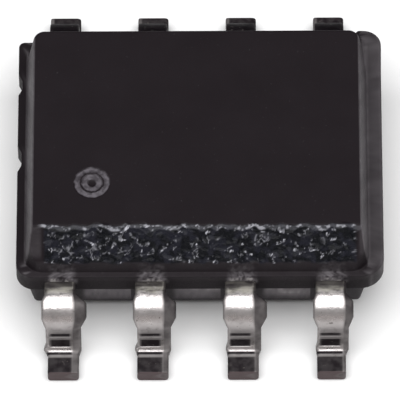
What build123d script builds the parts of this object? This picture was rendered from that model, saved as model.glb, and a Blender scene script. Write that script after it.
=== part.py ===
from build123d import *
import os
from math import radians, tan

# Eight-lead small-outline chip package, in millimetres and degrees.
# X runs along the body and Y across it. Z is up from the plane that the eight feet stand on,
# and the origin is at the middle of that footprint. Leads 1 to 4 come out of the bevelled
# side (low Y) from low X to high X, and leads 5 to 8 out of the far side, back to low X.

# Leads outside the body
lead_pitch = 1.27
leads_per_side = 4
lead_thickness = 0.21
lead_height = 0.77  # underside of the lead frame above the seating plane
lead_width = 0.42
shoulder_reach = 0.25  # flat run outside the body
upper_bend_radius = 0.19  # inside radii of the two bends
foot_bend_radius = 0.15
leg_angle = 85.0
foot_length = 0.406  # from the corner of leg and foot to the toe
leg_width = 0.49
foot_width = 0.44
stub_width = 0.63  # what is left of the dam bar at the top of leads 1 to 4
far_stub_width = 0.42  # the same on leads 5 to 8, trimmed away
stub_start = 0.38  # from the body to the stub's full width
stub_lead_in = 0.05
stub_drop = 0.24  # from the top of the frame down to the stub's taper
stub_taper = 0.13

# Moulded body, sized where it meets the lead frame
lead_to_end = 0.545  # from the last lead's middle to the end of the body
body_width = 3.90
body_thickness = 1.49
stand_off = 0.17
draft = 10.8
corner_radius = 0.28
lower_corner_radius = 0.20  # of the lower mould half
mould_step = 0.02  # how far the lower mould half lies inside the upper one
bevel = 0.31  # run of the 45 degree bevel across the top face

# Rim of resin that the mould leaves round the body, from the frame's underside to above its top
rim_side = 0.055
rim_left = 0.10
rim_right = 0.19
rim_cover = 0.12  # resin over the frame's top face
rim_near_left_radius = 0.25
rim_near_right_radius = 0.33
rim_far_right_radius = 0.24
rim_far_left_radius = 0.08
nick_depth = 0.055
nick_floor = 0.14
nick_flare = 0.11
nick_margin = 0.03  # beside the tie bar in its own notch
nick_place = 1.27  # along Y, from the tie bar's notch

# Lump of resin on the rim's far right corner, broken off where the mould was filled
gate_rise = 0.27  # above the rim
gate_width = 0.38
gate_length = 0.30
gate_slope = 0.30

# Round mark at lead 1, sunk in the top face, and the ejector's mark under the body
mark_radius = 0.25
mark_line = 0.05
mark_dot_radius = 0.09
mark_depth = 0.012
mark_from_end = 0.82  # its centre, from the top face's short edge
mark_from_side = 1.13  # its centre, from where the bevelled edge would be
ejector_radius = 0.50
ejector_depth = 0.02

# Lead frame inside the body
paddle_to_end = 1.25
paddle_to_side = 0.90
paddle_corner_radius = 0.08
paddle_downset = 0.16
ramp_start = 0.10  # from the paddle to the tie bar's ramp
ramp_run = 0.30
tie_bar_width = 0.16
frame_gap = 0.20  # between neighbouring pieces of the frame
anchor_depth = 0.30  # how deep in the resin a finger starts to widen
anchor_flare = 0.18
finger_width = 0.76
lock_hole_radius = 0.09
lock_hole_depth = 0.66

# Die, glue and wires
die_border = 0.40  # paddle left bare round the die
die_thickness = 0.25
attach_thickness = 0.025
attach_border = 0.05
pad_inset = 0.12
wire_diameter = 0.030
wire_rise = 0.16  # top of the loop above the die
wire_level = 0.10  # short level run at the top of the loop
ball_radius = 0.040
ball_height = 0.020
stitch_inset = 0.12  # where a wire lands, from the finger's end

# Worked out from the sizes above
frame_bottom = lead_height
frame_top = frame_bottom + lead_thickness
last_lead = lead_pitch * (leads_per_side - 1) / 2
half_length = last_lead + lead_to_end
half_width = body_width / 2
body_length = 2 * half_length
body_top = stand_off + body_thickness
upper_taper = (body_top - frame_top) * tan(radians(draft))
lower_taper = (frame_bottom - stand_off) * tan(radians(draft))
top_half_length = half_length - upper_taper
top_half_width = half_width - upper_taper
rim_low_x = -half_length - rim_left
rim_high_x = half_length + rim_right
rim_high_y = half_width + rim_side
rim_top = frame_top + rim_cover

upper_outside_radius = upper_bend_radius + lead_thickness
half_turn = tan(radians(leg_angle / 2))
shoulder_corner = half_width + shoulder_reach + upper_outside_radius * half_turn
foot_corner = shoulder_corner + (frame_top - lead_thickness) / tan(radians(leg_angle))
toe = foot_corner + foot_length
stub_top = frame_top - stub_drop
stub_foot = stub_top - stub_taper

paddle_half_length = half_length - paddle_to_end
paddle_half_width = half_width - paddle_to_side
paddle_top = frame_top - paddle_downset
die_length = 2 * (paddle_half_length - die_border)
die_width = 2 * (paddle_half_width - die_border)
die_bottom = paddle_top + attach_thickness
die_top = die_bottom + die_thickness
wire_top = die_top + wire_rise


def lead_places():
    """Yield each lead's number, the place of its middle along X and its side, -1 for low Y."""
    for step in range(leads_per_side):
        yield step + 1, step * lead_pitch - last_lead, -1
    for step in range(leads_per_side):
        yield leads_per_side + step + 1, last_lead - step * lead_pitch, 1


def beside_paddle(place):
    """Say whether a lead comes in past the paddle's end, not onto its long side."""
    return abs(place) > paddle_half_length


def finger_end(place):
    """Give how far from the middle line (Y = 0) the finger inside the body stops."""
    if beside_paddle(place):
        return tie_bar_width / 2 + frame_gap
    return paddle_half_width + frame_gap


def finger_reach(place):
    """Give how far the finger spreads to the outer and inner side of the lead's middle."""
    if beside_paddle(place):
        return lead_width / 2, abs(place) - paddle_half_length - frame_gap
    return finger_width / 2, finger_width / 2


# Leads: stamped flat with the frame, then bent down to the feet


def make_lead(place, side):
    """Build one lead from its bent section, its outline in plan and its outline from the front."""
    section = Plane(origin=(place, 0, 0), x_dir=(0, side, 0), z_dir=(side, 0, 0))
    plan = Plane(origin=(place, 0, 0), x_dir=(side, 0, 0), z_dir=(0, 0, 1))
    front = Plane(origin=(place, 0, 0), x_dir=(-side, 0, 0), z_dir=(0, side, 0))
    end = finger_end(place)
    outer, inner = finger_reach(place)
    way = 1 if place * side < 0 else -1  # towards the middle of the body, in the lead's own plan
    under = lead_thickness * half_turn
    stub = stub_width if side < 0 else far_stub_width

    with BuildPart() as lead:
        with BuildSketch(section):
            with BuildLine():
                over = FilletPolyline(
                    (end, frame_top),
                    (shoulder_corner, frame_top),
                    (foot_corner, lead_thickness),
                    (toe, lead_thickness),
                    radius=(upper_outside_radius, foot_bend_radius),
                )
                beneath = FilletPolyline(
                    (end, frame_bottom),
                    (shoulder_corner - under, frame_bottom),
                    (foot_corner - under, 0),
                    (toe, 0),
                    radius=(upper_bend_radius, foot_bend_radius + lead_thickness),
                )
                Line(over @ 0, beneath @ 0)
                Line(over @ 1, beneath @ 1)
            make_face()
        extrude(amount=lead_pitch, both=True)

        # In plan: a finger that anchors in the resin, the neck, the dam bar's stub and the foot
        with BuildSketch(plan):
            with Locations((0, (end + toe) / 2)):
                Rectangle(lead_width, toe - end)
            with BuildLine():
                Polyline(
                    (-way * outer, end),
                    (-way * outer, half_width - anchor_depth - anchor_flare),
                    (-way * lead_width / 2, half_width - anchor_depth),
                    (way * lead_width / 2, half_width - anchor_depth),
                    (way * inner, half_width - anchor_depth - anchor_flare),
                    (way * inner, end),
                    close=True,
                )
            make_face()
            with BuildLine():
                Polyline(
                    (-lead_width / 2, half_width + stub_start - stub_lead_in),
                    (lead_width / 2, half_width + stub_start - stub_lead_in),
                    (stub / 2, half_width + stub_start),
                    (stub / 2, foot_corner),
                    (foot_width / 2, foot_corner + foot_bend_radius),
                    (foot_width / 2, toe),
                    (-foot_width / 2, toe),
                    (-foot_width / 2, foot_corner + foot_bend_radius),
                    (-stub / 2, foot_corner),
                    (-stub / 2, half_width + stub_start),
                    close=True,
                )
            make_face()
            if beside_paddle(place):
                with Locations((way * (inner - outer) / 2, half_width - lock_hole_depth)):
                    Circle(lock_hole_radius, mode=Mode.SUBTRACT)
        extrude(amount=frame_top, mode=Mode.INTERSECT)

        # From the front: below the stub the leg is narrower, and above it nothing is cut away
        with BuildSketch(front):
            with BuildLine():
                Polyline(
                    (-leg_width / 2, 0),
                    (leg_width / 2, 0),
                    (leg_width / 2, stub_foot),
                    (stub / 2, stub_top),
                    (lead_pitch, stub_top),
                    (lead_pitch, frame_top),
                    (-lead_pitch, frame_top),
                    (-lead_pitch, stub_top),
                    (-stub / 2, stub_top),
                    (-leg_width / 2, stub_foot),
                    close=True,
                )
            make_face()
        extrude(amount=toe, mode=Mode.INTERSECT)
    return lead.part


leads = []
for number, place, side in lead_places():
    lead = make_lead(place, side)
    lead.label = f"lead_{number}"
    leads.append(lead)


# Die paddle: the frame's middle, set down below the leads and held by a tie bar at each end

with BuildPart() as die_paddle:
    ramp_foot = paddle_half_length + ramp_start
    top_line = [
        (rim_low_x + nick_depth, frame_top),
        (-ramp_foot - ramp_run, frame_top),
        (-ramp_foot, paddle_top),
        (ramp_foot, paddle_top),
        (ramp_foot + ramp_run, frame_top),
        (rim_high_x, frame_top),
    ]
    bottom_line = [(x, z - lead_thickness) for x, z in reversed(top_line)]
    with BuildSketch(Plane.XZ):
        with BuildLine():
            Polyline(*top_line, *bottom_line, close=True)
        make_face()
    extrude(amount=tie_bar_width / 2, both=True)
    with BuildSketch(Plane.XY.offset(paddle_top - lead_thickness)):
        RectangleRounded(2 * paddle_half_length, 2 * paddle_half_width, paddle_corner_radius)
    extrude(amount=lead_thickness)


# Die attach: silver-filled glue that spreads a little past the die

with BuildPart() as die_attach:
    with BuildSketch(Plane.XY.offset(paddle_top)):
        RectangleRounded(die_length + 2 * attach_border, die_width + 2 * attach_border, attach_border)
    extrude(amount=attach_thickness)


# Die: a sawn block of silicon

with BuildPart() as die:
    with BuildSketch(Plane.XY.offset(die_bottom)):
        Rectangle(die_length, die_width)
    extrude(amount=die_thickness)


# Bond wires: a pressed ball on the die, an upright neck, a short level run and a slope to the finger


def make_wire(place, side):
    """Build the wire from the edge of the die to the finger of the lead at this place."""
    inner = finger_reach(place)[1]
    pad_x = place / last_lead * (die_length / 2 - pad_inset)
    pad = Vector(pad_x, side * (die_width / 2 - pad_inset), die_top)
    landing_x = place
    if beside_paddle(place):
        landing_x = place * (1 - (inner - stitch_inset) / abs(place))
    landing = Vector(landing_x, side * (finger_end(place) + stitch_inset), frame_top)
    neck = Vector(pad.X, pad.Y, wire_top)
    kink = neck + Vector(landing.X - pad.X, landing.Y - pad.Y, 0).normalized() * wire_level
    past_landing = landing + (landing - kink).normalized() * wire_diameter

    with BuildPart() as wire:
        with BuildLine():
            route = Polyline(pad, neck, kink, past_landing)
        with BuildSketch(Plane(origin=route @ 0, z_dir=(0, 0, 1))):
            Circle(wire_diameter / 2)
        sweep(transition=Transition.RIGHT)
        with BuildSketch(Plane(origin=pad, z_dir=(0, 0, 1))):
            Circle(ball_radius)
        extrude(amount=ball_height)
        # The stitch ends flat on the finger
        split(bisect_by=Plane.XY.offset(frame_top), keep=Keep.TOP)
    return wire.part


wires = []
for number, place, side in lead_places():
    wire = make_wire(place, side)
    wire.label = f"bond_wire_{number}"
    wires.append(wire)


# Rim: its plan, and the lump on its far right corner

with BuildSketch() as rim_plan:
    with BuildLine():
        FilletPolyline(
            (rim_low_x, -rim_high_y),
            (rim_high_x, -rim_high_y),
            (rim_high_x, rim_high_y),
            (rim_low_x, rim_high_y),
            radius=(rim_near_left_radius, rim_near_right_radius, rim_far_right_radius, rim_far_left_radius),
            close=True,
        )
    make_face()
    # Shallow notches in the left edge, where the frame was punched away
    for place, floor in ((0, tie_bar_width + 2 * nick_margin), (nick_place, nick_floor)):
        with BuildLine():
            Polyline(
                (rim_low_x, place - floor / 2 - nick_flare),
                (rim_low_x + nick_depth, place - floor / 2),
                (rim_low_x + nick_depth, place + floor / 2),
                (rim_low_x, place + floor / 2 + nick_flare),
                close=True,
            )
        make_face(mode=Mode.SUBTRACT)

with BuildPart() as gate_lump:
    with BuildSketch(Plane.YZ.offset(rim_high_x - gate_width)):
        with BuildLine():
            Polyline(
                (rim_high_y, frame_top),
                (rim_high_y, rim_top + gate_rise),
                (rim_high_y - gate_length, rim_top + gate_rise),
                (rim_high_y - gate_length - gate_slope, rim_top),
                (rim_high_y - gate_length - gate_slope, frame_top),
                close=True,
            )
        make_face()
    extrude(amount=gate_width)
    extrude(rim_plan.sketch, amount=body_top, mode=Mode.INTERSECT)


# Body: resin moulded round the frame in two drafted halves, with the rim between them

with BuildPart() as body:
    # Each half narrows from the lead frame to its flat face
    halves = (
        (frame_top, 0, body_top, upper_taper, corner_radius),
        (frame_bottom, mould_step, stand_off, mould_step + lower_taper, lower_corner_radius),
    )
    for parting, parting_inset, face, face_inset, radius in halves:
        for level, inset in ((parting, parting_inset), (face, face_inset)):
            with BuildSketch(Plane.XY.offset(level)):
                RectangleRounded(body_length - 2 * inset, body_width - 2 * inset, radius - inset)
        loft(ruled=True)

    with BuildSketch(Plane.XY.offset(frame_bottom)):
        add(rim_plan.sketch)
    extrude(amount=rim_top - frame_bottom)
    add(gate_lump.part)

    # 45 degree bevel along the lead 1 side
    bevel_start = bevel - top_half_width
    bevel_low = bevel_start - half_width
    with BuildSketch(Plane.YZ):
        with BuildLine():
            Polyline(
                (bevel_start, body_top),
                (bevel_low, body_top - half_width),
                (bevel_low, body_top),
                close=True,
            )
        make_face()
    extrude(amount=body_length, both=True, mode=Mode.SUBTRACT)

    # Ring and dot at lead 1
    with BuildSketch(Plane.XY.offset(body_top)):
        with Locations((mark_from_end - top_half_length, mark_from_side - top_half_width)):
            Circle(mark_radius)
            Circle(mark_radius - mark_line, mode=Mode.SUBTRACT)
            Circle(mark_dot_radius)
    extrude(amount=-mark_depth, mode=Mode.SUBTRACT)

    # Round mark of the ejector pin, in the middle underneath
    with BuildSketch(Plane.XY.offset(stand_off)):
        Circle(ejector_radius)
    extrude(amount=ejector_depth, mode=Mode.SUBTRACT)

    # The resin is cast round everything that it holds
    for piece in (*leads, die_paddle.part, die_attach.part, die.part, *wires):
        add(piece, mode=Mode.SUBTRACT)


os.makedirs("parts", exist_ok=True)

body.part.label = "body"
export_step(body.part, "parts/body.step")

die_paddle.part.label = "die_paddle"
export_step(die_paddle.part, "parts/die_paddle.step")

die_attach.part.label = "die_attach"
export_step(die_attach.part, "parts/die_attach.step")

die.part.label = "die"
export_step(die.part, "parts/die.step")

for piece in (*leads, *wires):
    export_step(piece, f"parts/{piece.label}.step")
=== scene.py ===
import math

import bpy
import numpy as np
from mathutils import Matrix, Vector


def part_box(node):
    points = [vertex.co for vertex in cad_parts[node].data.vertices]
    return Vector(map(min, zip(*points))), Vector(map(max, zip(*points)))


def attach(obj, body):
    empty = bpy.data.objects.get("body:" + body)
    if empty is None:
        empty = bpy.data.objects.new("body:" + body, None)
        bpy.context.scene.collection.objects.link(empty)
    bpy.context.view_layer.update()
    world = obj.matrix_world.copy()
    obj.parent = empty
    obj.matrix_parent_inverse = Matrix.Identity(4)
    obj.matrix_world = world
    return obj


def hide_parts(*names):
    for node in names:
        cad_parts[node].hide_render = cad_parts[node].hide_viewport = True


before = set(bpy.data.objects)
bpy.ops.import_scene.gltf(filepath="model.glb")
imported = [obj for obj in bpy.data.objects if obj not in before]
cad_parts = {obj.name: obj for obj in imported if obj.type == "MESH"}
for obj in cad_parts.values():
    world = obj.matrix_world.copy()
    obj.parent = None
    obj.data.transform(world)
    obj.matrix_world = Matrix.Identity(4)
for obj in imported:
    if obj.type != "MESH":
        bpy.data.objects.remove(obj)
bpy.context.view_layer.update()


# Die paddle: the sunk middle of the lead frame with its two tie bars, stamped from rolled
# copper alloy. The resin hides it, apart from the cut ends of the bars in the short sides.
MM = 0.001  # lengths below are in millimetres, and this turns them into the scene's metres


def new_group(name, inputs, outputs):
    """Start a shader node group with float inputs, given as name and default, and named outputs."""
    group = bpy.data.node_groups.new(name, "ShaderNodeTree")
    for label, value in inputs.items():
        socket = group.interface.new_socket(label, in_out="INPUT", socket_type="NodeSocketFloat")
        socket.default_value = value
    for label in outputs:
        group.interface.new_socket(label, in_out="OUTPUT", socket_type="NodeSocketFloat")
    entry = group.nodes.new("NodeGroupInput")
    leaving = group.nodes.new("NodeGroupOutput")
    return group, entry.outputs, leaving.inputs


def add_node(tree, kind, sockets=None, **options):
    """Add a node with the given options, and set or link the sockets named in the dictionary."""
    node = tree.nodes.new(kind)
    for option, value in options.items():
        setattr(node, option, value)
    for label, value in (sockets or {}).items():
        if isinstance(value, bpy.types.NodeSocket):
            tree.links.new(value, node.inputs[label])
        else:
            node.inputs[label].default_value = value
    return node


def fade(tree, value, low, high, at_low=0.0, at_high=1.0):
    """Turn a value into a soft step, from at_low where it is low to at_high where it is high."""
    sockets = {
        "Value": value, "From Min": low, "From Max": high, "To Min": at_low, "To Max": at_high,
    }
    node = add_node(tree, "ShaderNodeMapRange", sockets, interpolation_type="SMOOTHSTEP")
    return node.outputs["Result"]


def blend_colours(tree, mask, under, over):
    """Lay one colour over another where the mask is 1."""
    sockets = {0: mask, 6: under, 7: over}  # the colour sockets share their names with others
    return add_node(tree, "ShaderNodeMix", sockets, data_type="RGBA").outputs[2]


def place_in_millimetres(tree):
    """Give the place on the piece in millimetres."""
    spot = add_node(tree, "ShaderNodeTexCoord").outputs["Object"]
    sockets = {0: spot, "Scale": 1 / MM}
    return add_node(tree, "ShaderNodeVectorMath", sockets, operation="SCALE").outputs[0]


grain_group, asked, given = new_group(
    "grain", {"Per Millimetre": 10.0, "Detail": 3.0, "Stretch": 1.0}, ["Value"]
)
stretch = add_node(grain_group, "ShaderNodeCombineXYZ", {"X": 1.0, "Y": asked["Stretch"], "Z": 1.0})
pulled = add_node(
    grain_group,
    "ShaderNodeVectorMath",
    {0: place_in_millimetres(grain_group), 1: stretch.outputs[0]},
    operation="MULTIPLY",
)
cloud = add_node(
    grain_group,
    "ShaderNodeTexNoise",
    {"Vector": pulled.outputs[0], "Scale": asked["Per Millimetre"], "Detail": asked["Detail"]},
)
grain_group.links.new(cloud.outputs["Fac"], given["Value"])


def grain(tree, per_millimetre, detail=3.0, stretch=1.0):
    """Cloudy grain from 0 to 1 with so many lumps a millimetre."""
    sockets = {"Per Millimetre": per_millimetre, "Detail": detail, "Stretch": stretch}
    return add_node(tree, "ShaderNodeGroup", sockets, node_tree=grain_group).outputs["Value"]


def new_material(name, **values):
    """Start a material and set the shader's own sockets, named with _ for a blank."""
    material = bpy.data.materials.new(name)
    material.use_nodes = True
    shader = material.node_tree.nodes["Principled BSDF"]
    for label, value in values.items():
        shader.inputs[label.replace("_", " ")].default_value = value
    return material, material.node_tree, shader


def finish_surface(tree, shader, colour, roughness, height, depth):
    """Feed a material's colour, roughness and bump, with the bump's depth in millimetres."""
    bump = add_node(tree, "ShaderNodeBump", {"Height": height, "Distance": depth * MM})
    tree.links.new(colour, shader.inputs["Base Color"])
    tree.links.new(roughness, shader.inputs["Roughness"])
    tree.links.new(bump.outputs["Normal"], shader.inputs["Normal"])


def coat_node(name, material):
    """Give a carried-over node its material in every slot."""
    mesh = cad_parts[name].data
    mesh.materials.clear()
    mesh.materials.append(material)


def rolled_copper():
    """Bare copper alloy with rolling lines along X, stained in clouds."""
    material, tree, shader = new_material("rolled_copper", Metallic=1.0)
    lines = grain(tree, 4.0, 4.0, stretch=14.0)
    stain = fade(tree, grain(tree, 2.5, 5.0), 0.42, 0.68)
    colour = blend_colours(tree, stain, (0.72, 0.40, 0.25, 1.0), (0.44, 0.22, 0.13, 1.0))
    finish_surface(tree, shader, colour, fade(tree, lines, 0.2, 0.8, 0.24, 0.46), lines, 0.004)
    return material


coat_node("die_paddle", rolled_copper())


# Die attach: the silver-filled glue between paddle and die, pressed out into a thin rim
# round the die and cured hard.
cells_group, asked, given = new_group(
    "cells", {"Per Millimetre": 10.0, "Bend": 0.0}, ["Edge", "Value"]
)
spot = place_in_millimetres(cells_group)
waver = add_node(
    cells_group,
    "ShaderNodeTexNoise",
    {"Vector": spot, "Scale": asked["Per Millimetre"], "Detail": 2.0},
)
push = add_node(
    cells_group,
    "ShaderNodeVectorMath",
    {0: waver.outputs["Color"], "Scale": asked["Bend"]},
    operation="SCALE",
)
bent = add_node(
    cells_group, "ShaderNodeVectorMath", {0: spot, 1: push.outputs[0]}, operation="ADD"
)
borders = add_node(
    cells_group,
    "ShaderNodeTexVoronoi",
    {"Vector": bent.outputs[0], "Scale": asked["Per Millimetre"]},
    feature="DISTANCE_TO_EDGE",
)
centres = add_node(
    cells_group,
    "ShaderNodeTexVoronoi",
    {"Vector": bent.outputs[0], "Scale": asked["Per Millimetre"]},
)
cells_group.links.new(borders.outputs["Distance"], given["Edge"])
cells_group.links.new(centres.outputs["Distance"], given["Value"])


def cells(tree, per_millimetre, bend=0.0):
    """Cells of uneven shape: the distance to their borders, and the distance to their centres."""
    sockets = {"Per Millimetre": per_millimetre, "Bend": bend}
    node = add_node(tree, "ShaderNodeGroup", sockets, node_tree=cells_group)
    return node.outputs["Edge"], node.outputs["Value"]


def silver_glue():
    """Grey glue, cloudy with flakes of silver."""
    material, tree, shader = new_material("silver_glue", Metallic=0.35)
    flakes = fade(tree, cells(tree, 45.0)[1], 0.15, 0.6)
    clouds = grain(tree, 9.0, 4.0)
    colour = blend_colours(tree, flakes, (0.62, 0.62, 0.60, 1.0), (0.36, 0.36, 0.35, 1.0))
    finish_surface(tree, shader, colour, fade(tree, clouds, 0.2, 0.8, 0.38, 0.62), clouds, 0.006)
    return material


coat_node("die_attach", silver_glue())


# Die: a sawn block of silicon. Its top carries the circuit, seen as small blocks of
# slightly different blue-grey under clear glass, and its sides show the saw.
def silicon():
    """Blue-grey silicon with blocks of circuit in rows and columns."""
    material, tree, shader = new_material(
        "silicon", Metallic=0.55, Coat_Weight=0.6, Coat_Roughness=0.08
    )
    sockets = {
        "Vector": place_in_millimetres(tree), "Color1": (0.20, 0.23, 0.33, 1.0),
        "Color2": (0.33, 0.25, 0.36, 1.0), "Mortar": (0.50, 0.52, 0.46, 1.0),
        "Scale": 9.0, "Mortar Size": 0.03, "Brick Width": 0.7,
    }
    blocks = add_node(tree, "ShaderNodeTexBrick", sockets)
    saw = grain(tree, 6.0, 3.0, stretch=0.2)
    roughness = fade(tree, saw, 0.2, 0.8, 0.16, 0.34)
    finish_surface(tree, shader, blocks.outputs["Color"], roughness, saw, 0.002)
    return material


coat_node("die", silicon())


# Bond wires: gold wires, each pressed to a ball on the die and stitched to a finger.
def drawn_gold():
    """Gold with faint drawing lines and a slightly duller bloom."""
    material, tree, shader = new_material("drawn_gold", Metallic=1.0)
    bloom = grain(tree, 30.0, 3.0)
    colour = blend_colours(tree, bloom, (0.98, 0.72, 0.30, 1.0), (0.86, 0.56, 0.20, 1.0))
    finish_surface(tree, shader, colour, fade(tree, bloom, 0.2, 0.8, 0.16, 0.30), bloom, 0.001)
    return material


gold = drawn_gold()
for number in range(1, 9):
    coat_node(f"bond_wire_{number}", gold)


# Body: filled epoxy resin, moulded in one shot round the frame between two drafted mould
# halves. The mould leaves a rim in the frame's plane and a rough eroded bevel along the
# side of lead 1, whose place a sunk ring marks on the top face.
low, high = (np.array(corner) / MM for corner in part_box("body"))
BODY_HALF_LENGTH = 2.45  # at the lead frame
BODY_HALF_WIDTH = 1.95
DRAFT = math.tan(math.radians(10.8))
CORNER = 0.28
LOWER_CORNER = 0.20
FRAME_BOTTOM = 0.77
FRAME_TOP = 0.98
MOULD_STEP = 0.02
FLUSH = 0.004  # the rim lies this much behind metal that is flush with it
BEVEL = 0.31
BEVEL_SOFTNESS = 0.012
RIM_COVER = 0.12  # resin over the lead frame's top
LEAD_PITCH = 1.27
LAST_LEAD = 1.905  # place of the last lead along X
RIM_CORNERS = (0.25, 0.33, 0.24, 0.08)  # near left, near right, far right and far left
GATE_LEFT, GATE_FRONT = 2.26, 1.405  # the lump on the rim where the mould was filled
GATE_SLOPE, GATE_RISE = 0.30, 0.27

UPPER_RISE = high[2] - FRAME_TOP
TOP_HALF_LENGTH = BODY_HALF_LENGTH - UPPER_RISE * DRAFT
TOP_HALF_WIDTH = BODY_HALF_WIDTH - UPPER_RISE * DRAFT
BEVEL_START = BEVEL - TOP_HALF_WIDTH


def eased(keys, stops, spots, reach):
    """Follow a line through key values with its corners rounded.

    The line runs straight from one row of keys to the next, which lie at the distances in
    stops. The value at a spot is the mean of the line from spot - reach to spot + reach.
    """
    steps = np.diff(stops)[:, None]
    whole_steps = np.cumsum(steps * (keys[1:] + keys[:-1]) / 2, axis=0)
    sums = np.vstack([np.zeros(keys.shape[1]), whole_steps])

    def area(at):
        """Sum of the line up to a distance: the whole steps before it, and its own part step."""
        step = np.clip(np.searchsorted(stops, at, side="right") - 1, 0, len(stops) - 2)
        value = np.stack([np.interp(at, stops, column) for column in keys.T], axis=1)
        return sums[step] + (at - stops[step])[:, None] * (keys[step] + value) / 2

    return (area(spots + reach) - area(spots - reach)) / (2 * reach)[:, None]


def closed_surface(name, rings, **marks):
    """Make one closed mesh from a stack of rings of points, in millimetres.

    rings[i, j] is point j of ring i. Quads join each ring to the next, and triangles draw
    the first and the last ring together at a pole in their middle. marks are values for
    each point, kept as attributes of the mesh.
    """
    count, around = rings.shape[:2]
    poles = rings[[0, -1]].mean(axis=1)
    points = np.vstack([rings.reshape(-1, 3), poles]) * MM
    here = np.arange(around)
    after = (here + 1) % around
    row = np.arange(count - 1)[:, None] * around
    quads = np.stack([row + here, row + after, row + around + after, row + around + here], axis=-1)
    last = (count - 1) * around
    first_cap = np.stack([after, here, np.full(around, count * around)], axis=-1)
    last_cap = np.stack([last + here, last + after, np.full(around, count * around + 1)], axis=-1)
    faces = quads.reshape(-1, 4).tolist() + first_cap.tolist() + last_cap.tolist()
    mesh = bpy.data.meshes.new(name)
    mesh.from_pydata(points.tolist(), [], faces)
    mesh.shade_smooth()
    for label, values in marks.items():
        ends = values[[0, -1]].mean(axis=1)
        layer = mesh.attributes.new(label, "FLOAT", "POINT")
        layer.data.foreach_set("value", np.concatenate([values.ravel(), ends]).astype(np.float32))
    piece = bpy.data.objects.new(name, mesh)
    bpy.context.scene.collection.objects.link(piece)
    return piece


def smooth_noise(u, v, seed):
    """Random heights from -1 to 1, one at each whole (u, v), blended by a cubic step between."""
    table = np.random.default_rng(seed).uniform(-1, 1, (256, 256))
    i, j = np.floor(u).astype(int), np.floor(v).astype(int)
    a, b = u - i, v - j
    a, b = a * a * (3 - 2 * a), b * b * (3 - 2 * b)
    near = table[i % 256, j % 256] * (1 - a) + table[(i + 1) % 256, j % 256] * a
    far = table[i % 256, (j + 1) % 256] * (1 - a) + table[(i + 1) % 256, (j + 1) % 256] * a
    return near * (1 - b) + far * b


def scoops(u, v, seed):
    """Shallow bowls side by side that meet in sharp crests, about one a unit square.

    A bowl's height is the square of the distance from its own random spot, plus a random
    slope. The lowest bowl at each place counts. Returned are its height, and how much
    higher the next one is, which is 0 on a crest.
    """
    random = np.random.default_rng(seed)
    spots = random.uniform(0, 1, (64, 64, 2))
    slopes = random.uniform(-1, 1, (64, 64, 2))
    i, j = np.floor(u).astype(int), np.floor(v).astype(int)
    bowls = []
    for di, dj in ((di, dj) for di in (-1, 0, 1) for dj in (-1, 0, 1)):
        cell = ((i + di) % 64, (j + dj) % 64)
        du, dv = u - i - di - spots[cell][..., 0], v - j - dj - spots[cell][..., 1]
        tilt = slopes[cell][..., 0] * du + slopes[cell][..., 1] * dv
        bowls.append(du * du + dv * dv + 0.9 * tilt)
    lowest = np.sort(np.stack(bowls), axis=0)
    return lowest[0], lowest[1] - lowest[0]


def soft_step(value, low_end, high_end):
    """0 below low_end, 1 above high_end, and a cubic step between."""
    part = np.clip((value - low_end) / (high_end - low_end), 0, 1)
    return part * part * (3 - 2 * part)


# The body's outline, as points round each level: the front, the right end, the far side
# and the left end, with a quarter turn at each corner.
ALONG_FRONT, ALONG_RIGHT, ALONG_FAR, ALONG_LEFT, ROUND_CORNER = 440, 60, 90, 110, 10


def level_outlines(left, right, side, corners, front):
    """Points round each level of the body, counter-clockwise from above.

    The outline is a rounded rectangle from -left to right and -side to side, with the
    corner radii near left, near right, far right and far left. What would lie beyond the
    line y = front is moved back to it, softly.
    """
    columns = (value[:, None] for value in (left, right, side, front, *corners))
    left, right, side, front, near_left, near_right, far_right, far_left = columns
    turn = np.linspace(0, math.pi / 2, ROUND_CORNER, endpoint=False)[None]
    counts = (ALONG_FRONT, ALONG_RIGHT, ALONG_FAR, ALONG_LEFT)
    s_front, s_right, s_far, s_left = (
        np.linspace(0, 1, count, endpoint=False)[None] for count in counts
    )
    front_length = left + right - near_left - near_right
    far_length = left + right - far_left - far_right
    right_start, right_end = np.maximum(near_right - side, front), side - far_right
    left_start, left_end = side - far_left, np.maximum(near_left - side, front)
    stretches = [
        (-left + near_left + s_front * front_length, -side + 0 * s_front),
        (right - near_right * (1 - np.sin(turn)), -side + near_right * (1 - np.cos(turn))),
        (right + 0 * s_right, right_start + s_right * (right_end - right_start)),
        (right - far_right * (1 - np.cos(turn)), side - far_right * (1 - np.sin(turn))),
        (right - far_right - s_far * far_length, side + 0 * s_far),
        (-left + far_left * (1 - np.sin(turn)), side - far_left * (1 - np.cos(turn))),
        (-left + 0 * s_left, left_start + s_left * (left_end - left_start)),
        (-left + near_left * (1 - np.cos(turn)), -side + near_left * (1 - np.sin(turn))),
    ]
    x, y = (np.hstack(parts) for parts in zip(*stretches))
    return x, (y + front + np.sqrt((y - front) ** 2 + BEVEL_SOFTNESS**2)) / 2


def around_to_ring(x, y, centre, ring, share):
    """Draw outlines towards a circle round the centre, each point straight along its own ray."""
    dx, dy = x - centre[0], y - centre[1]
    away = np.hypot(dx, dy)
    wanted = away + share * (ring - away)
    return centre[0] + dx / away * wanted, centre[1] + dy / away * wanted


NICK_DEPTH = 0.055
NICK_FLARE = 0.11
NICKS = ((0.0, 0.22), (1.27, 0.14))  # place along Y and width of the floor
BAR_HALF_WIDTH = 0.08
BAR_GAP = 0.01
MARK = (0.845 - TOP_HALF_LENGTH, 1.04 - TOP_HALF_WIDTH)  # from the unbevelled top's corner
MARK_RADIUS = 0.25
MARK_LINE = 0.05
MARK_DOT = 0.14
MARK_PIT = 0.055
MARK_DEPTH = 0.012
EJECTOR_RADIUS = 0.50
EJECTOR_DEPTH = 0.02
SUNK_WALL = 0.006  # half the run of a sunk mark's steep wall


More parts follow.
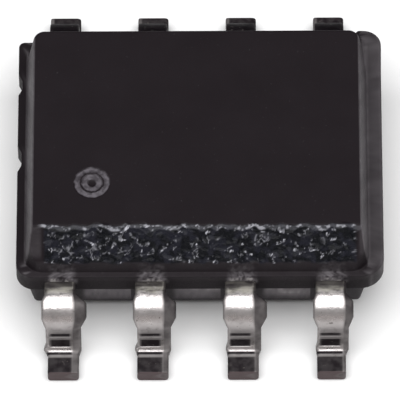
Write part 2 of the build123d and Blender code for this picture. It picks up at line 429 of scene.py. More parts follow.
def body_rings():
    """Rings of points from the middle of the underside up to the ring mark's middle.

    The profile is one line: underside, drafted lower side, rim, drafted upper side and top
    face. The outlines follow it with every corner eased, and the two flat faces are closed
    by drawing their outlines on to the ejector's mark and the lead 1 mark.
    """
    foot_in = MOULD_STEP + (FRAME_BOTTOM - low[2]) * DRAFT
    face_in = 0.25  # from a flat face's edge to its first inner outline
    rim = (FRAME_BOTTOM + FLUSH, FRAME_TOP + RIM_COVER)

    def level(height, inset, radius):
        """One row of keys for a level that lies inset from the size at the lead frame."""
        return height, *(BODY_HALF_LENGTH - inset,) * 2, BODY_HALF_WIDTH - inset, *(radius,) * 4

    # height, left, right, side and the four corner radii at each corner of the profile
    keys = np.array([
        level(low[2], foot_in + face_in, 0.03),
        level(low[2], foot_in, LOWER_CORNER - foot_in),
        level(rim[0], MOULD_STEP, LOWER_CORNER - MOULD_STEP),
        (rim[0], -low[0], high[0], high[1], *RIM_CORNERS),
        (rim[1], -low[0], high[0], high[1], *RIM_CORNERS),
        level(rim[1], RIM_COVER * DRAFT, CORNER - RIM_COVER * DRAFT),
        level(high[2], UPPER_RISE * DRAFT, CORNER - UPPER_RISE * DRAFT),
        level(high[2], UPPER_RISE * DRAFT + face_in, 0.05),
    ])
    stops = np.concatenate([[0], np.cumsum(np.hypot(np.diff(keys[:, 0]), np.diff(keys[:, 3])))])
    # How far each corner of the profile is eased, and then the levels, which are close at
    # the corners and closest over the bevel
    softening = np.array([0.04, 0.04, 0.012, 0.014, 0.018, 0.014, 0.04, 0.04])
    bevel_foot = (BEVEL_START - high[2] + BODY_HALF_WIDTH + FRAME_TOP * DRAFT) / (DRAFT - 1)
    bevel_spot = np.interp(bevel_foot, (rim[1], high[2]), stops[5:7])
    round_corner = np.array([-1.0, -0.6, -0.2, 0.2, 0.6, 1.0])
    spots = [spot + ease * round_corner for spot, ease in zip(stops[1:-1], softening[1:-1])]
    spots.append(np.linspace(stops[1], stops[2], 5)[1:-1])
    spots.append(np.linspace(stops[3], stops[4], 6)[1:-1])
    spots.append(np.linspace(stops[5], bevel_spot, 6)[1:-1])
    spots.append(np.linspace(bevel_spot - 0.03, stops[6] + 0.05, 48))
    spots = np.unique(np.round(np.concatenate(spots), 4))
    spots = spots[np.concatenate([[True], np.diff(spots) > 0.003])]
    z, left, right, side, *corners = eased(keys, stops, spots, np.interp(spots, stops, softening)).T
    front = BEVEL_START - (high[2] - z) + np.maximum(0, TOP_HALF_WIDTH - side)
    x, y = level_outlines(left, right, side, corners, front)
    z = np.repeat(z[:, None], x.shape[1], axis=1)

    # Notches in the left of the rim, and room for the cut ends of the tie bars
    wall_foot = BODY_HALF_LENGTH - 0.02
    on_rim = np.clip((-x - wall_foot) / (-low[0] - wall_foot), 0, 1) * (z < rim[1] + 0.01)
    for place, floor in NICKS:
        flare = (floor / 2, floor / 2 + NICK_FLARE)
        x += on_rim * np.interp(np.abs(y - place), flare, (NICK_DEPTH, 0))
    at_bar = (np.abs(y) < BAR_HALF_WIDTH + BAR_GAP) & (np.abs(x) > BODY_HALF_LENGTH + 0.04)
    x -= np.sign(x) * (at_bar & (z < FRAME_TOP)) * FLUSH

    # The lump on the far right of the rim: its side is stretched up, and its top is level
    # from the rim's edge to the wall, with a slope down towards the front
    rise = GATE_RISE * np.clip((y - GATE_FRONT) / GATE_SLOPE, 0, 1)
    rise *= soft_step(x, GATE_LEFT, GATE_LEFT + 0.04)
    share = np.clip((z - FRAME_BOTTOM) / (rim[1] - FRAME_BOTTOM), 0, 1)
    z = np.where(z < rim[1], z + rise * share, np.maximum(z, rim[1] + rise))

    # The flat faces, from their edge to the round marks
    shares = np.array([0.06, 0.14, 0.24, 0.36, 0.5, 0.64, 0.78, 0.9, 1.0])[:, None]
    top_x, top_y = around_to_ring(x[-1:], y[-1:], MARK, MARK_RADIUS + 0.02, shares)
    foot_x, foot_y = around_to_ring(x[:1], y[:1], (0, 0), EJECTOR_RADIUS + 0.03, shares[::-1])

    def sunk_rings(at_x, at_y, centre, profile):
        """Circles of the profile's radii round the centre, in the outline's directions."""
        turn = np.arctan2(at_y - centre[1], at_x - centre[0])
        radius, height = np.array(profile).T[:, :, None]
        at_x, at_y = centre[0] + radius * np.cos(turn), centre[1] + radius * np.sin(turn)
        return at_x, at_y, height + 0 * turn

    top, floor, wall = high[2], high[2] - MARK_DEPTH, SUNK_WALL
    line_edge = MARK_RADIUS - MARK_LINE
    mark = sunk_rings(top_x[-1], top_y[-1], MARK, [
        (MARK_RADIUS + wall, top), (MARK_RADIUS, floor + 0.002), (MARK_RADIUS - wall, floor),
        (line_edge + wall, floor), (line_edge, floor + 0.002), (line_edge - wall, top),
        ((line_edge + MARK_DOT) / 2, top),
        (MARK_DOT + wall, top), (MARK_DOT, floor + 0.002), (MARK_DOT - wall, floor),
        (MARK_PIT + wall, floor), (MARK_PIT, floor - MARK_DEPTH / 2), (0.03, floor - MARK_DEPTH),
    ])
    ceiling = low[2] + EJECTOR_DEPTH
    pin = sunk_rings(foot_x[0], foot_y[0], (0, 0), [
        (0.1, ceiling), (EJECTOR_RADIUS - wall, ceiling),
        (EJECTOR_RADIUS, ceiling - wall), (EJECTOR_RADIUS + wall, low[2]),
    ])
    underside = (foot_x, foot_y, low[2] + 0 * foot_x)
    top_face = (top_x, top_y, top + 0 * top_x)
    stacks = (pin, underside, (x, y, z), top_face, mark)
    return np.concatenate([np.stack(stack, axis=-1) for stack in stacks])


ROUGH_FROM, ROUGH_TO = -2.17, 2.27  # ends of the rough part of the bevel
ROUGH_WIDTH = 1.75 * BEVEL  # down the slope
WIDE_HEIGHT, SMALL_HEIGHT, CLOUD_HEIGHT, SINKING = 0.040, 0.011, 0.010, 0.012


def roughen_bevel(rings):
    """Break the bevel up into glassy scoops with sharp crests.

    The height is the sum of scoops in two sizes on bent axes and cloudy noise, less a
    sinking. It fades out at the rough part's ends and long edges. Returned for each point are
    how rough it is, and how pale it is, partly chipped resin and partly a painted glint:
    broken lines along the scoops' borders, and a ragged lip along the bevel's top edge.
    """
    x, y, z = np.moveaxis(rings, -1, 0)
    across = (BEVEL_START - y + high[2] - z) / math.sqrt(2)  # down the slope from its top edge
    off_plane = np.abs((z - high[2]) - (y - BEVEL_START)) / math.sqrt(2)
    waver = 0.02 * smooth_noise(x * 11, x * 0, 1)
    rough = soft_step(x, ROUGH_FROM, ROUGH_FROM + 0.05)
    rough *= 1 - soft_step(x, ROUGH_TO - 0.05, ROUGH_TO)
    rough *= soft_step(across + waver, -0.03, 0.015)
    rough *= 1 - soft_step(across + waver, ROUGH_WIDTH - 0.03, ROUGH_WIDTH + 0.02)
    near_plane = (1 - soft_step(off_plane, 0.03, 0.06)) * (y < 0)
    rough *= near_plane
    u = x + 0.06 * smooth_noise(x * 6, across * 6, 2)
    v = across + 0.06 * smooth_noise(x * 6, across * 6, 3)
    wide, wide_gap = scoops(u * 8, v * 8.5, 4)
    small, small_gap = scoops(u * 18, v * 19, 5)
    clouds = smooth_noise(x * 5, across * 7, 6)
    height = WIDE_HEIGHT * wide + SMALL_HEIGHT * small + CLOUD_HEIGHT * clouds - SINKING
    height *= rough

    # Pale crests stand along the scoops' borders, and pale chips along the top edge: partly chipped
    # resin, partly painted glints where the broken facets would catch the lamp
    chance = smooth_noise(x * 13, across * 15, 9) + 0.6 * smooth_noise(x * 31, across * 33, 10)
    glint = 0.30 + 0.70 * soft_step(smooth_noise(x * 17, across * 19, 13), 0.2, 0.6)
    lines = np.exp(-((wide_gap / 0.075) ** 2)) * soft_step(chance, 0.26, 0.50) * glint
    fine_lines = np.exp(-((small_gap / 0.15) ** 2)) * soft_step(chance, 0.6, 0.9) * glint
    lines = np.maximum(lines, fine_lines)
    chips = smooth_noise(x * 14, across * 24, 11) + 0.7 * smooth_noise(x * 37, across * 45, 12)
    lip = 0.08 + 0.50 * soft_step(chips, 0.05, 0.9)
    lip *= soft_step(across + waver, -0.012, 0.004)
    lip *= 1 - soft_step(across + 2 * waver, 0.035, 0.06)
    lip *= soft_step(x, ROUGH_FROM - 0.1, ROUGH_FROM) * (1 - soft_step(x, ROUGH_TO, ROUGH_TO + 0.1))
    crest = np.clip(lines * rough + lip * near_plane, 0, 1)
    rings[..., 1] -= height / math.sqrt(2)
    rings[..., 2] += height / math.sqrt(2)
    return rough, crest


# Paleness of the right rim by X: bands of painted light and shade
RIGHT_RIM_PAINTED_SHADING = ((2.42, 0.50), (2.46, 0.30), (2.51, 0.10), (2.57, 0.20), (2.60, 0.36))  # by X
# Paleness of the lower strip by height: a painted floor reflection, darker towards the bottom as
# painted shade
STRIP_PAINTED_REFLECTION = ((0.22, 0.15), (0.42, 0.95), (0.66, 1.1), (0.72, 1.4))  # by height


def worn_pale(rings):
    """How pale the resin is at each point: 0 is as moulded, 1 is pale and 2.2 is bare filler.

    Paler are the drafted short sides, painted light where they catch the lamp, and the right
    side of the rim along both its edges, in bands of painted light and shade. The lower half
    between the near leads is a painted reflection of the floor, darker towards the bottom as
    painted shade, and kept dark just right of each lead as its painted shadow. The ends of the
    bevel are paler too, and a thin pale flash of resin clings above each near lead.
    """
    x, y, z = np.moveaxis(rings, -1, 0)
    spread = (high[2] - z) * DRAFT  # the drafted sides lie this much outside the top face

    # The short sides, the rim at their foot, and the front side, made paler as painted light where
    # the drafted faces catch the lamp; the right rim gets bands of painted light and shade
    worn = 0.47 * soft_step(np.abs(x) - TOP_HALF_LENGTH - spread, -0.025, -0.008)
    worn *= z > FRAME_TOP
    above_lower = z > FRAME_BOTTOM + 0.01
    right_rim_shading = np.interp(x, *np.array(RIGHT_RIM_PAINTED_SHADING).T)
    worn = np.where((x > RIGHT_RIM_PAINTED_SHADING[0][0]) & above_lower, right_rim_shading, worn)
    worn = worn * (1 - soft_step(-x, 2.42, 2.45) * above_lower)
    front_side = soft_step(-y - TOP_HALF_WIDTH - spread, -0.03, -0.01)
    worn = np.maximum(worn, 0.05 * front_side * (z > FRAME_TOP))

    # The lower half, with a streaked strip between the near leads: a painted reflection of the
    # floor, darker towards the bottom as painted shade, and kept dark just right of each lead as
    # its painted shadow
    past_lead = (x + LAST_LEAD + 0.3) % LEAD_PITCH - 0.3
    between = soft_step(past_lead, 0.27, 0.36) * (np.abs(x) < LAST_LEAD) * (y < -1.7)
    streaks = 1 + 0.35 * smooth_noise(x * 3, z * 38, 18)
    strip = np.interp(z, *np.array(STRIP_PAINTED_REFLECTION).T) * streaks
    worn = np.where(z < FRAME_BOTTOM - 0.01, 0.15 + between * (strip - 0.15), worn)

    # The bevel's smooth ends
    right_end = 1 - soft_step(x, ROUGH_TO, ROUGH_TO + 0.04)
    bevel_ends = 1 - soft_step(x, ROUGH_FROM - 0.04, ROUGH_FROM) * right_end
    on_bevel = soft_step(BEVEL_START - y, 0.0, 0.02) * soft_step(z, 1.3, 1.4)
    worn = np.maximum(worn, 0.15 * bevel_ends * on_bevel)

    # The flash above each near lead, and a mottle over all
    off_lead = np.minimum((x + LAST_LEAD) % LEAD_PITCH, (-x - LAST_LEAD) % LEAD_PITCH)
    flash = (1 - soft_step(off_lead, 0.10, 0.26)) * soft_step(-y, 1.84, 1.98)
    flash *= soft_step(z, 0.93, 0.97) * (1.7 - 1.25 * soft_step(z, 1.03, 1.11))
    specks = 0.8 + 0.7 * smooth_noise(x * 18, (y + z) * 24, 14)
    specks += 0.5 * smooth_noise(x * 45, (y + z) * 40, 17)
    worn = np.maximum(worn, flash * specks)
    mottle = 1 + 0.25 * smooth_noise(x * 5, (y + z) * 5, 15)
    return worn * (mottle + 0.2 * smooth_noise(x * 25, (y + z) * 25, 16))


def combine(tree, operation, first, second=0.0, clamp=False):
    """Join two numbers or masks with one arithmetic operation."""
    sockets = {0: first, 1: second}
    node = add_node(tree, "ShaderNodeMath", sockets, operation=operation, use_clamp=clamp)
    return node.outputs[0]


def times(tree, first, second, clamp=False):
    """Multiply two numbers or masks."""
    return combine(tree, "MULTIPLY", first, second, clamp)


def read_mark(tree, label):
    """Read one of the mesh's own values, kept for each of its points."""
    return add_node(tree, "ShaderNodeAttribute", attribute_name=label).outputs["Fac"]


def moulded_resin():
    """Near-black filled epoxy: fine eroded grain, cloudy tone, dust, pale wear with painted light
    on the drafted ends and lower side, and a glassier broken bevel with chipped crests and
    painted glints."""
    material, tree, shader = new_material("moulded_resin", Specular_IOR_Level=0.12)
    rough, crest, worn = (read_mark(tree, label) for label in ("rough", "crest", "worn"))
    clouds = grain(tree, 1.6, 5.0)
    fine = grain(tree, 55.0, 3.0)
    dust = fade(tree, grain(tree, 26.0, 2.0), 0.70, 0.78)
    dark, cloudy = (0.0078, 0.0052, 0.0068, 1.0), (0.0128, 0.0094, 0.0117, 1.0)
    colour = blend_colours(tree, clouds, dark, cloudy)
    colour = blend_colours(tree, times(tree, dust, 0.25), colour, (0.10, 0.095, 0.10, 1.0))
    # Paler wear, with painted light and shade: the lit drafted ends, bands on the right rim, and
    # the lower side's painted floor reflection
    colour = blend_colours(tree, worn, colour, (0.150, 0.138, 0.148, 1.0))
    colour = blend_colours(tree, fade(tree, worn, 1.0, 2.2), colour, (0.40, 0.38, 0.38, 1.0))
    facets = fade(tree, grain(tree, 8.0, 4.0), 0.42, 0.60)
    shaded, glassy = (0.0032, 0.0036, 0.0052, 1.0), (0.0105, 0.0108, 0.0165, 1.0)
    colour = blend_colours(tree, rough, colour, blend_colours(tree, facets, shaded, glassy))
    # Pale crests on the bevel: chipped resin, and painted glints where broken facets catch the lamp
    colour = blend_colours(tree, crest, colour, (0.50, 0.50, 0.55, 1.0))

    # The lead 1 mark is burnt a little paler than the face, with ragged edges
    spot = add_node(tree, "ShaderNodeSeparateXYZ", {0: place_in_millimetres(tree)}).outputs
    dx = combine(tree, "SUBTRACT", spot["X"], MARK[0])
    dy = combine(tree, "SUBTRACT", spot["Y"], MARK[1])
    away = combine(tree, "ADD", times(tree, dx, dx), times(tree, dy, dy))
    away = combine(tree, "SQRT", away)
    ragged = combine(tree, "ADD", away, times(tree, grain(tree, 16.0, 4.0), 0.05))
    ragged = combine(tree, "SUBTRACT", ragged, 0.018)
    line_edge = MARK_RADIUS - MARK_LINE
    ring = times(
        tree,
        fade(tree, ragged, line_edge - 0.03, line_edge),
        fade(tree, ragged, MARK_RADIUS - 0.01, MARK_RADIUS + 0.02, 1.0, 0.0),
    )
    dot = times(
        tree,
        fade(tree, ragged, MARK_PIT, MARK_PIT + 0.03),
        fade(tree, ragged, MARK_DOT - 0.01, MARK_DOT + 0.03, 1.0, 0.0),
    )
    on_top = fade(tree, spot["Z"], high[2] - 0.05, high[2] - 0.03)
    burnt = times(tree, combine(tree, "MAXIMUM", ring, dot), on_top)
    burnt = times(tree, burnt, fade(tree, grain(tree, 12.0, 4.0), 0.35, 0.65, 0.35, 0.95))
    colour = blend_colours(tree, burnt, colour, (0.125, 0.114, 0.129, 1.0))

    splinters = fade(tree, cells(tree, 26.0, 0.03)[0], 0.0, 0.12, 1.0, 0.0)
    splinters = times(tree, splinters, times(tree, rough, 0.2))
    height = combine(tree, "ADD", times(tree, fine, 0.14), splinters)
    smooth = fade(tree, fine, 0.3, 0.7, 0.50, 0.66)
    roughness = combine(tree, "SUBTRACT", smooth, times(tree, rough, 0.25))
    finish_surface(tree, shader, colour, roughness, height, 0.008)
    return material


rings = body_rings()
worn = worn_pale(rings)
rough, crest = roughen_bevel(rings)
body = closed_surface("moulded_body", rings, rough=rough, crest=crest, worn=worn)
body.data.materials.append(moulded_resin())
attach(body, "root")
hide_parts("body")


# Leads: stamped with the frame from copper alloy, trimmed from the dam bar, bent down to
# flat feet and plated with tin. The punch rolled one long edge over, and the resin left a
# dull film where each near lead comes out. Painted shade darkens the rolled edge and bands
# along the near leads, and covers the far leads' tops as a near-black coat.
LEAD_THICKNESS = 0.21
SHOULDER_REACH = 0.25  # level run from the body to the upper bend
UPPER_BEND, FOOT_BEND = 0.19, 0.11  # inside radii
LEG_ANGLE = math.radians(85)
BEND_SOFTNESS = 0.05  # the slope changes this much before and after a bend's ends
NECK_WIDTH = 0.42
NECK_SHIFT = 0.15  # share of the stub's extra width by which the neck lies further left
STUB_START = 0.35  # from the body
STUB_END = 0.66  # share of the upper bend
FINGER_WIDTH = 0.76
END_FINGER = 0.505  # the fingers of the leads at the ends reach this far to the middle
ANCHOR_DEPTH = 0.30
ANCHOR_FLARE = 0.18
ROLL_DROP = 0.2  # the rolled edge falls by this share of its width
SECTION_EASING = 0.038
LINE_PLACE, LINE_WIDTH, LINE_DEPTH = 0.165, 0.018, 0.006  # pressed across the shoulder
SLOTS = ((-0.20, 0.030), (0.003, 0.092))  # place from the leg's end, and half length
SLOT_MIDDLE, SLOT_HALF_WIDTH, SLOT_DEPTH = -0.025, 0.148, 0.010
TOE_SOFTNESS = 0.03
TOE_POINTS = np.array([0, 0.05, 0.18, 0.42, 0.7, 1.0, 1.6, 2.4])  # inset of the last rings
RING_SPACING = 0.0125
AROUND_LEAD = 64
# Half widths to the left and right of a lead's middle and the width of the rolled edge, at
# the stub, the leg and the foot, and how far the foot's bend bulges to the left. The last
# four rows are the far leads', which are straight.
LEAD_SIDES = (
    ((0.287, 0.350, 0.18), (0.232, 0.268, 0.125), (0.205, 0.236, 0.09), 0.030),
    ((0.267, 0.342, 0.18), (0.209, 0.266, 0.105), (0.212, 0.231, 0.075), 0.035),
    ((0.269, 0.352, 0.19), (0.205, 0.270, 0.090), (0.205, 0.235, 0.04), 0.025),
    ((0.269, 0.300, 0.12), (0.207, 0.237, 0.080), (0.212, 0.195, 0.03), 0.023),
) + (((0.21, 0.21, 0.04), (0.21, 0.21, 0.04), (0.22, 0.22, 0.03), 0.0),) * 4
toe = -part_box("lead_1")[0].y / MM


def lead_rings(node, place, stub, shank, sole, ear):
    """Rings of points along one lead of the front row, from the end of its finger to its toe.

    The middle line runs flat out of the body, turns down round the upper bend, runs down
    the leg, and turns back round the foot's bend. Its slope is given by the distance along
    it, and its place is the sum of its steps, stretched a little so that the foot stands on
    the ground and the toe ends where it should. A section with four eased corners and a
    rolled right edge is carried along it, with the sizes of the lead's row of LEAD_SIDES.
    Returned with the rings are the distance from the body, how far on to the rolled edge
    each point lies, and how much painted shade it has, with a darker foot.
    """
    inside_end = -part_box(node)[1].y / MM
    radius_up = UPPER_BEND + LEAD_THICKNESS / 2
    radius_foot = FOOT_BEND + LEAD_THICKNESS / 2
    bend_fall = (radius_up + radius_foot) * (1 - math.cos(LEG_ANGLE))
    leg = (FRAME_BOTTOM - bend_fall) / math.sin(LEG_ANGLE)
    bends_reach = (radius_up + radius_foot) * math.sin(LEG_ANGLE) + leg * math.cos(LEG_ANGLE)
    foot = toe - BODY_HALF_WIDTH - SHOULDER_REACH - bends_reach
    exit_at = BODY_HALF_WIDTH - inside_end
    bend_length = radius_up * LEG_ANGLE
    runs = (exit_at + SHOULDER_REACH, bend_length, leg, radius_foot * LEG_ANGLE, foot)
    marks = np.concatenate([[0], np.cumsum(runs)])
    shoulder_end, bend_end, leg_end, foot_start, toe_end = marks[1:]

    inner = np.linspace(0, exit_at - 0.05, 26)
    outer = np.arange(exit_at - 0.04, toe_end - TOE_SOFTNESS, RING_SPACING)
    end = toe_end - TOE_SOFTNESS * np.array([1, 0.7, 0.42, 0.18, 0.05, 0, 0, 0])
    along = np.concatenate([inner, outer, end])
    fine = np.linspace(0, toe_end, 4001)
    bends = [0, 0, LEG_ANGLE, LEG_ANGLE, 0, 0]
    shifts = np.linspace(-BEND_SOFTNESS, BEND_SOFTNESS, 9)
    slope = sum(np.interp(fine + shift, marks, bends) for shift in shifts) / len(shifts)
    step = np.diff(fine)
    half = (slope[1:] + slope[:-1]) / 2
    out, fall = (
        np.concatenate([[0], np.cumsum(step * part)]) for part in (np.cos(half), np.sin(half))
    )
    out = np.interp(along, fine, inside_end + out * (toe - inside_end) / out[-1])
    fall = np.interp(along, fine, fall * FRAME_BOTTOM / fall[-1])
    slope = np.interp(along, fine, slope)
    middle = FRAME_BOTTOM + LEAD_THICKNESS / 2 - fall

    # Distance along the lead, half widths to the left and right, width of the rolled edge
    neck = NECK_WIDTH / 2
    at_end = abs(place) > LEAD_PITCH
    to_middle, to_end = (END_FINGER, neck) if at_end else (FINGER_WIDTH / 2,) * 2
    finger = (to_middle, to_end, 0.02) if place > 0 else (to_end, to_middle, 0.02)
    anchor = exit_at - ANCHOR_DEPTH
    shift = NECK_SHIFT * (stub[0] + stub[1] - NECK_WIDTH)
    stub_from, stub_to = exit_at + STUB_START, shoulder_end + STUB_END * bend_length
    eared = (shank[0] + ear, *shank[1:])
    stations, *widths = np.array([
        (0, *finger),
        (anchor - ANCHOR_FLARE, *finger),
        (anchor, neck, neck, 0.02),
        (exit_at + 0.01, neck + shift, neck - shift / 2, 0.02),
        (stub_from - 0.10, neck + shift, neck - shift / 2, 0.03),
        (stub_from - 0.01, *stub),
        (stub_to, *stub),
        (stub_to + 0.14, *shank),
        (leg_end + 0.10, *shank),
        (leg_end + 0.16, *eared),
        (leg_end + 0.20, *eared),
        (leg_end + 0.27, *sole),
        (toe_end, *sole),
    ]).T
    left, right, roll = (np.interp(along, stations, column)[:, None] for column in widths)

    # Unit columns: left, right, rolled run, height and rolled drop at the section's corners,
    # and then the lengths of its sides
    keys = np.array([
        (1, 0, 0, -1, 0), (0, 1, 0, -1, 0), (0, 1, 0, 1, 1),
        (0, 1, 1, 1, 0), (1, 0, 0, 1, 0), (1, 0, 0, -1, 0),
    ], float)
    stops = np.cumsum([0, NECK_WIDTH, 0.13, 0.15, 0.30, LEAD_THICKNESS])
    total = stops[-1]
    keys = np.vstack([keys[-2:-1], keys, keys[1:2]])
    stops = np.concatenate([[-LEAD_THICKNESS], stops, [total + NECK_WIDTH]])
    spots = np.linspace(0, total, AROUND_LEAD, endpoint=False)
    parts = eased(keys, stops, spots, np.full(AROUND_LEAD, SECTION_EASING)).T
    across = -parts[0] * left + parts[1] * right - parts[2] * roll
    depth = parts[3] * LEAD_THICKNESS / 2 - parts[4] * ROLL_DROP * roll
    onto_roll = soft_step(parts[1] - parts[2], 0.0, 0.14) * soft_step(parts[3], -1, -0.6)
    onto_roll = np.repeat(onto_roll[None], len(along), axis=0)

    # Pressed into the outer face are a line across the shoulder and two slots on the leg
    outer_face = soft_step(depth, 0, LEAD_THICKNESS / 2) * (1 - onto_roll)
    line = np.exp(-(((along - exit_at - LINE_PLACE) / LINE_WIDTH) ** 2))[:, None]
    slots = sum(
        1 - soft_step(np.abs(along - leg_end - spot), half_length - 0.006, half_length + 0.016)
        for spot, half_length in SLOTS
    )
    off_middle = np.abs(across - SLOT_MIDDLE)
    sunk = 1 - soft_step(off_middle, SLOT_HALF_WIDTH - 0.02, SLOT_HALF_WIDTH + 0.02)
    sunk *= outer_face * slots[:, None]
    depth -= outer_face * line * LINE_DEPTH + sunk * SLOT_DEPTH

    # Painted shade: the shoulder next to the body as a shadow line, a dark reflected band on
    # the upper bend, the leg by half to dim its reflection, a dark reflected line just before
    # the foot, and the two slots. The foot is darker too. The rolled edge gets painted shade,
    # most on the upper bend, and so does the left edge where the highlight would fall off.
    stained_at = np.array([
        (exit_at + 0.13, 0.85), (exit_at + 0.18, 0.0),
        (shoulder_end + 0.155, 0.0), (shoulder_end + 0.185, 0.32),
        (shoulder_end + 0.225, 0.32), (shoulder_end + 0.255, 0.0),
        (bend_end - 0.16, 0.0), (bend_end, 0.48),
        (leg_end + 0.01, 0.48), (leg_end + 0.03, 0.1),
        (foot_start - 0.085, 0.1), (foot_start - 0.065, 1.0),
        (foot_start - 0.015, 1.0), (foot_start, 0.55),
        (foot_start + 0.035, 0.55), (foot_start + 0.055, 0.98),
    ])
    plain = np.interp(along, *stained_at.T)[:, None] * (1 - 0.75 * onto_roll)
    on_bend = shoulder_end + bend_length * np.array([0.12, 0.28, 0.75, 1.0])
    shade_on_roll = np.interp(along, on_bend, (0.9, 0.5, 0.3, 0.05))[:, None] * onto_roll
    left_edge_shade = 0.55 * soft_step(-across, left - 0.05, left - 0.015)
    stained = np.maximum(np.maximum(sunk, plain), np.maximum(shade_on_roll, left_edge_shade))

    # The toe's edge is eased: the last rings are drawn in, in proportion to their size
    inset = np.zeros((len(along), 1))
    inset[-8:, 0] = TOE_SOFTNESS * TOE_POINTS
    across *= 1 - inset / 0.25
    depth *= 1 - inset / LEAD_THICKNESS
    out, middle, slope, along = (value[:, None] for value in (out, middle, slope, along))
    y, z = -(out + depth * np.sin(slope)), middle + depth * np.cos(slope)
    ring = np.stack([place + across, y, z], axis=-1)
    return ring, np.repeat(along - exit_at, AROUND_LEAD, axis=1), onto_roll, stained


def tin_plate(name, toe_at, film_and_shade_end, thinnest, shine, film_and_shade_colours):
    """Tin plate, cloudy and scuffed, with small pits, painted shade in bands and on the rolled
    edge, a darker foot and a bare cut toe.

    Near the body, up to film_and_shade_end, it has a dull coat in patches of two colours, which is
    nowhere thinner than thinnest; given near-black colours, this coat is painted shade.
    shine is the specular level, and toe_at where the lead ends. All distances are measured
    from the body.
    """
    material, tree, shader = new_material(name, Specular_IOR_Level=shine)
    along, rolled, stained = (read_mark(tree, label) for label in ("along", "rolled", "stained"))
    clouds = grain(tree, 7.0, 4.0)
    fine = grain(tree, 60.0, 3.0)
    blotches = fade(tree, grain(tree, 9.0, 4.0), 0.3, 0.7, 1.02, 0.965)
    stained = times(tree, stained, blotches, clamp=True)
    waver = combine(tree, "ADD", along, times(tree, clouds, 0.22))
    near = fade(tree, waver, film_and_shade_end, film_and_shade_end + 0.08, 1.0, 0.0)
    film_and_shade = times(tree, near, fade(tree, grain(tree, 14.0, 3.0), 0.25, 0.45, thinnest, 1.0))
    patches = fade(tree, grain(tree, 5.0, 5.0, stretch=3.0), 0.30, 0.68)
    scuffs = fade(tree, grain(tree, 9.0, 5.0, stretch=1.6), 0.52, 0.72, 0.0, 0.45)
    # Painted shade on the rolled edge, darkened in clouds
    stain = times(tree, rolled, fade(tree, grain(tree, 5.0, 3.0), 0.2, 0.7, 0.95, 0.68))
    pits = fade(tree, grain(tree, 22.0, 2.0), 0.27, 0.33, 1.0, 0.0)
    cut = fade(tree, along, toe_at - 0.020, toe_at - 0.004)
    cut = times(tree, cut, fade(tree, rolled, 0.0, 1.0, 1.0, 0.5))
    colour = blend_colours(tree, clouds, (0.58, 0.55, 0.54, 1.0), (0.44, 0.41, 0.41, 1.0))
    colour = blend_colours(tree, scuffs, colour, (0.26, 0.24, 0.235, 1.0))
    colour = blend_colours(tree, stain, colour, (0.040, 0.034, 0.035, 1.0))
    colour = blend_colours(tree, film_and_shade, colour, blend_colours(tree, patches, *film_and_shade_colours))
    # Painted shade: dark reflected bands, slots, edges and the rolled edge, and a darker foot
    colour = blend_colours(tree, stained, colour, (0.012, 0.009, 0.011, 1.0))
    colour = blend_colours(tree, cut, colour, (0.085, 0.064, 0.066, 1.0))
    colour = blend_colours(tree, times(tree, pits, 0.7), colour, (0.10, 0.09, 0.085, 1.0))
    film_and_edge_shade = combine(tree, "MAXIMUM", film_and_shade, stain)
    dull = combine(tree, "MAXIMUM", film_and_edge_shade, combine(tree, "MAXIMUM", cut, stained))
    metal = combine(tree, "SUBTRACT", 1.0, times(tree, dull, 0.8))
    tree.links.new(metal, shader.inputs["Metallic"])
    polish = fade(tree, clouds, 0.3, 0.7, 0.20, 0.32)
    polish = combine(tree, "ADD", polish, times(tree, scuffs, 0.25))
    roughness = combine(tree, "ADD", polish, times(tree, dull, 0.3))
    height = combine(tree, "ADD", times(tree, fine, 0.06), clouds)
    finish_surface(tree, shader, colour, roughness, height, 0.007)
    return material


# Leads 5 to 8 are made in the places of leads 1 to 4 and turned half round
shapes = []
for number in range(1, 9):
    step = (number - 1) % 4
    place = step * LEAD_PITCH - LAST_LEAD
    ring, *marks = lead_rings(f"lead_{step + 1}", place, *LEAD_SIDES[number - 1])
    shapes.append((ring if number <= 4 else ring * (-1, -1, 1), *marks))

near_tin = tin_plate(
    "tin_plate",
    toe_at=shapes[0][1].max(),
    film_and_shade_end=0.31,
    thinnest=0.65,
    shine=0.12,
    film_and_shade_colours=((0.06, 0.055, 0.053, 1.0), (0.33, 0.315, 0.28, 1.0)),
)
# The far leads: their near-black coat is painted shade, standing for the dark room their tops
# reflect
far_tin_painted_dark = tin_plate(
    "tin_plate_painted_dark",
    toe_at=shapes[0][1].max(),
    film_and_shade_end=0.66,
    thinnest=0.985,
    shine=0.03,
    film_and_shade_colours=((0.004, 0.003, 0.004, 1.0), (0.008, 0.006, 0.0075, 1.0)),
)
for number, (ring, along, rolled, stained) in enumerate(shapes, 1):
    name = f"plated_lead_{number}"
    lead = closed_surface(name, ring, along=along, rolled=rolled, stained=stained)
    lead.data.materials.append(near_tin if number <= 4 else far_tin_painted_dark)
    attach(lead, "root")
    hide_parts(f"lead_{number}")


# Stage: a plain pale floor under the feet, one broad soft lamp overhead, and a camera with
# a long lens that looks down on the bevelled side.
def pale_floor():
    """White matte floor with barely visible clouds."""
    material, tree, shader = new_material("pale_floor", Roughness=0.9)
    clouds = grain(tree, 0.02, 2.0)
    colour = blend_colours(tree, clouds, (0.93, 0.93, 0.93, 1.0), (0.90, 0.90, 0.90, 1.0))
    tree.links.new(colour, shader.inputs["Base Color"])
    return material


FLOOR_HALF = 900.0 * MM
corners = [(x * FLOOR_HALF, y * FLOOR_HALF, 0) for x, y in ((-1, -1), (1, -1), (1, 1), (-1, 1))]
floor_mesh = bpy.data.meshes.new("floor")
floor_mesh.from_pydata(corners, [], [(0, 1, 2, 3)])
floor_mesh.materials.append(pale_floor())
floor = bpy.data.objects.new("floor", floor_mesh)
bpy.context.scene.collection.objects.link(floor)

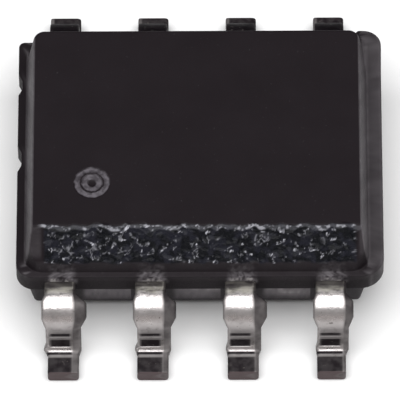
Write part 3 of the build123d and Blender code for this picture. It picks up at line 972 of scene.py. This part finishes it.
LAMP_DISTANCE = 300.0
LAMP_ELEVATION = math.radians(82)  # from the front horizon
LAMP_HALF_ANGLES = (math.radians(45), math.radians(25))  # sideways, and front to back
LAMP_BRIGHTNESS = 3.5

lamp = bpy.data.lights.new("softbox", "AREA")
lamp.shape = "RECTANGLE"
lamp.size, lamp.size_y = (2 * LAMP_DISTANCE * MM * math.tan(angle) for angle in LAMP_HALF_ANGLES)
lamp.energy = LAMP_BRIGHTNESS * math.pi * lamp.size * lamp.size_y
softbox = bpy.data.objects.new("softbox", lamp)
lamp_way = Vector((0.0, -math.cos(LAMP_ELEVATION), math.sin(LAMP_ELEVATION)))
softbox.location = lamp_way * LAMP_DISTANCE * MM
softbox.rotation_euler = (-lamp_way).to_track_quat("-Z", "Y").to_euler()
bpy.context.scene.collection.objects.link(softbox)

# The room is dim, with a pale wall in front that shines on the bevel and the leads
DIM_ROOM = (0.045, 0.045, 0.048, 1.0)
PALE_WALL = (0.62, 0.59, 0.58, 1.0)

world = bpy.data.worlds.new("room")
world.use_nodes = True
sky = world.node_tree
way = add_node(sky, "ShaderNodeTexCoord").outputs["Generated"]
way = add_node(sky, "ShaderNodeSeparateXYZ", {0: way}).outputs
forward = times(sky, way["Y"], -1.0)
on_wall = times(sky, fade(sky, forward, 0.58, 0.88), fade(sky, way["Z"], 0.1, 0.9, 1.0, 0.4))
room = blend_colours(sky, on_wall, DIM_ROOM, PALE_WALL)
sky.links.new(room, sky.nodes["Background"].inputs["Color"])
bpy.context.scene.world = world

CAMERA_AIM = Vector((0.0, 0.0, 0.8))
CAMERA_DISTANCE = 108.2
CAMERA_AZIMUTH = math.radians(0.568)
CAMERA_ELEVATION = math.radians(56.55)
CAMERA_ROLL = math.radians(-0.712)
IMAGE_SIDE = 400
AIM_PIXEL = (196.85, 169.58)  # where the aim lies in the image
PIXELS_PER_MM = 70.15

# The camera is placed round its aim and then turned until the aim falls on its pixel
back = Vector((
    math.sin(CAMERA_AZIMUTH) * math.cos(CAMERA_ELEVATION),
    -math.cos(CAMERA_AZIMUTH) * math.cos(CAMERA_ELEVATION),
    math.sin(CAMERA_ELEVATION),
))
level_right = Vector((0, 0, 1)).cross(back).normalized()
level_up = back.cross(level_right)
right = math.cos(CAMERA_ROLL) * level_right + math.sin(CAMERA_ROLL) * level_up
up = math.cos(CAMERA_ROLL) * level_up - math.sin(CAMERA_ROLL) * level_right
camera_place = CAMERA_AIM + back * CAMERA_DISTANCE
middle_right = (IMAGE_SIDE / 2 - AIM_PIXEL[0]) / PIXELS_PER_MM
middle_up = (AIM_PIXEL[1] - IMAGE_SIDE / 2) / PIXELS_PER_MM
back = (camera_place - (CAMERA_AIM + right * middle_right + up * middle_up)).normalized()
right = up.cross(back).normalized()
up = back.cross(right)

lens = bpy.data.cameras.new("camera")
lens.sensor_width = 36.0
lens.lens = lens.sensor_width * PIXELS_PER_MM * CAMERA_DISTANCE / IMAGE_SIDE
lens.clip_start, lens.clip_end = 0.01, 10.0
camera = bpy.data.objects.new("camera", lens)
turned = Matrix((right, up, back)).transposed().to_4x4()
camera.matrix_world = Matrix.Translation(camera_place * MM) @ turned
bpy.context.scene.collection.objects.link(camera)
bpy.context.scene.camera = camera
bpy.context.scene.view_settings.view_transform = "Standard"
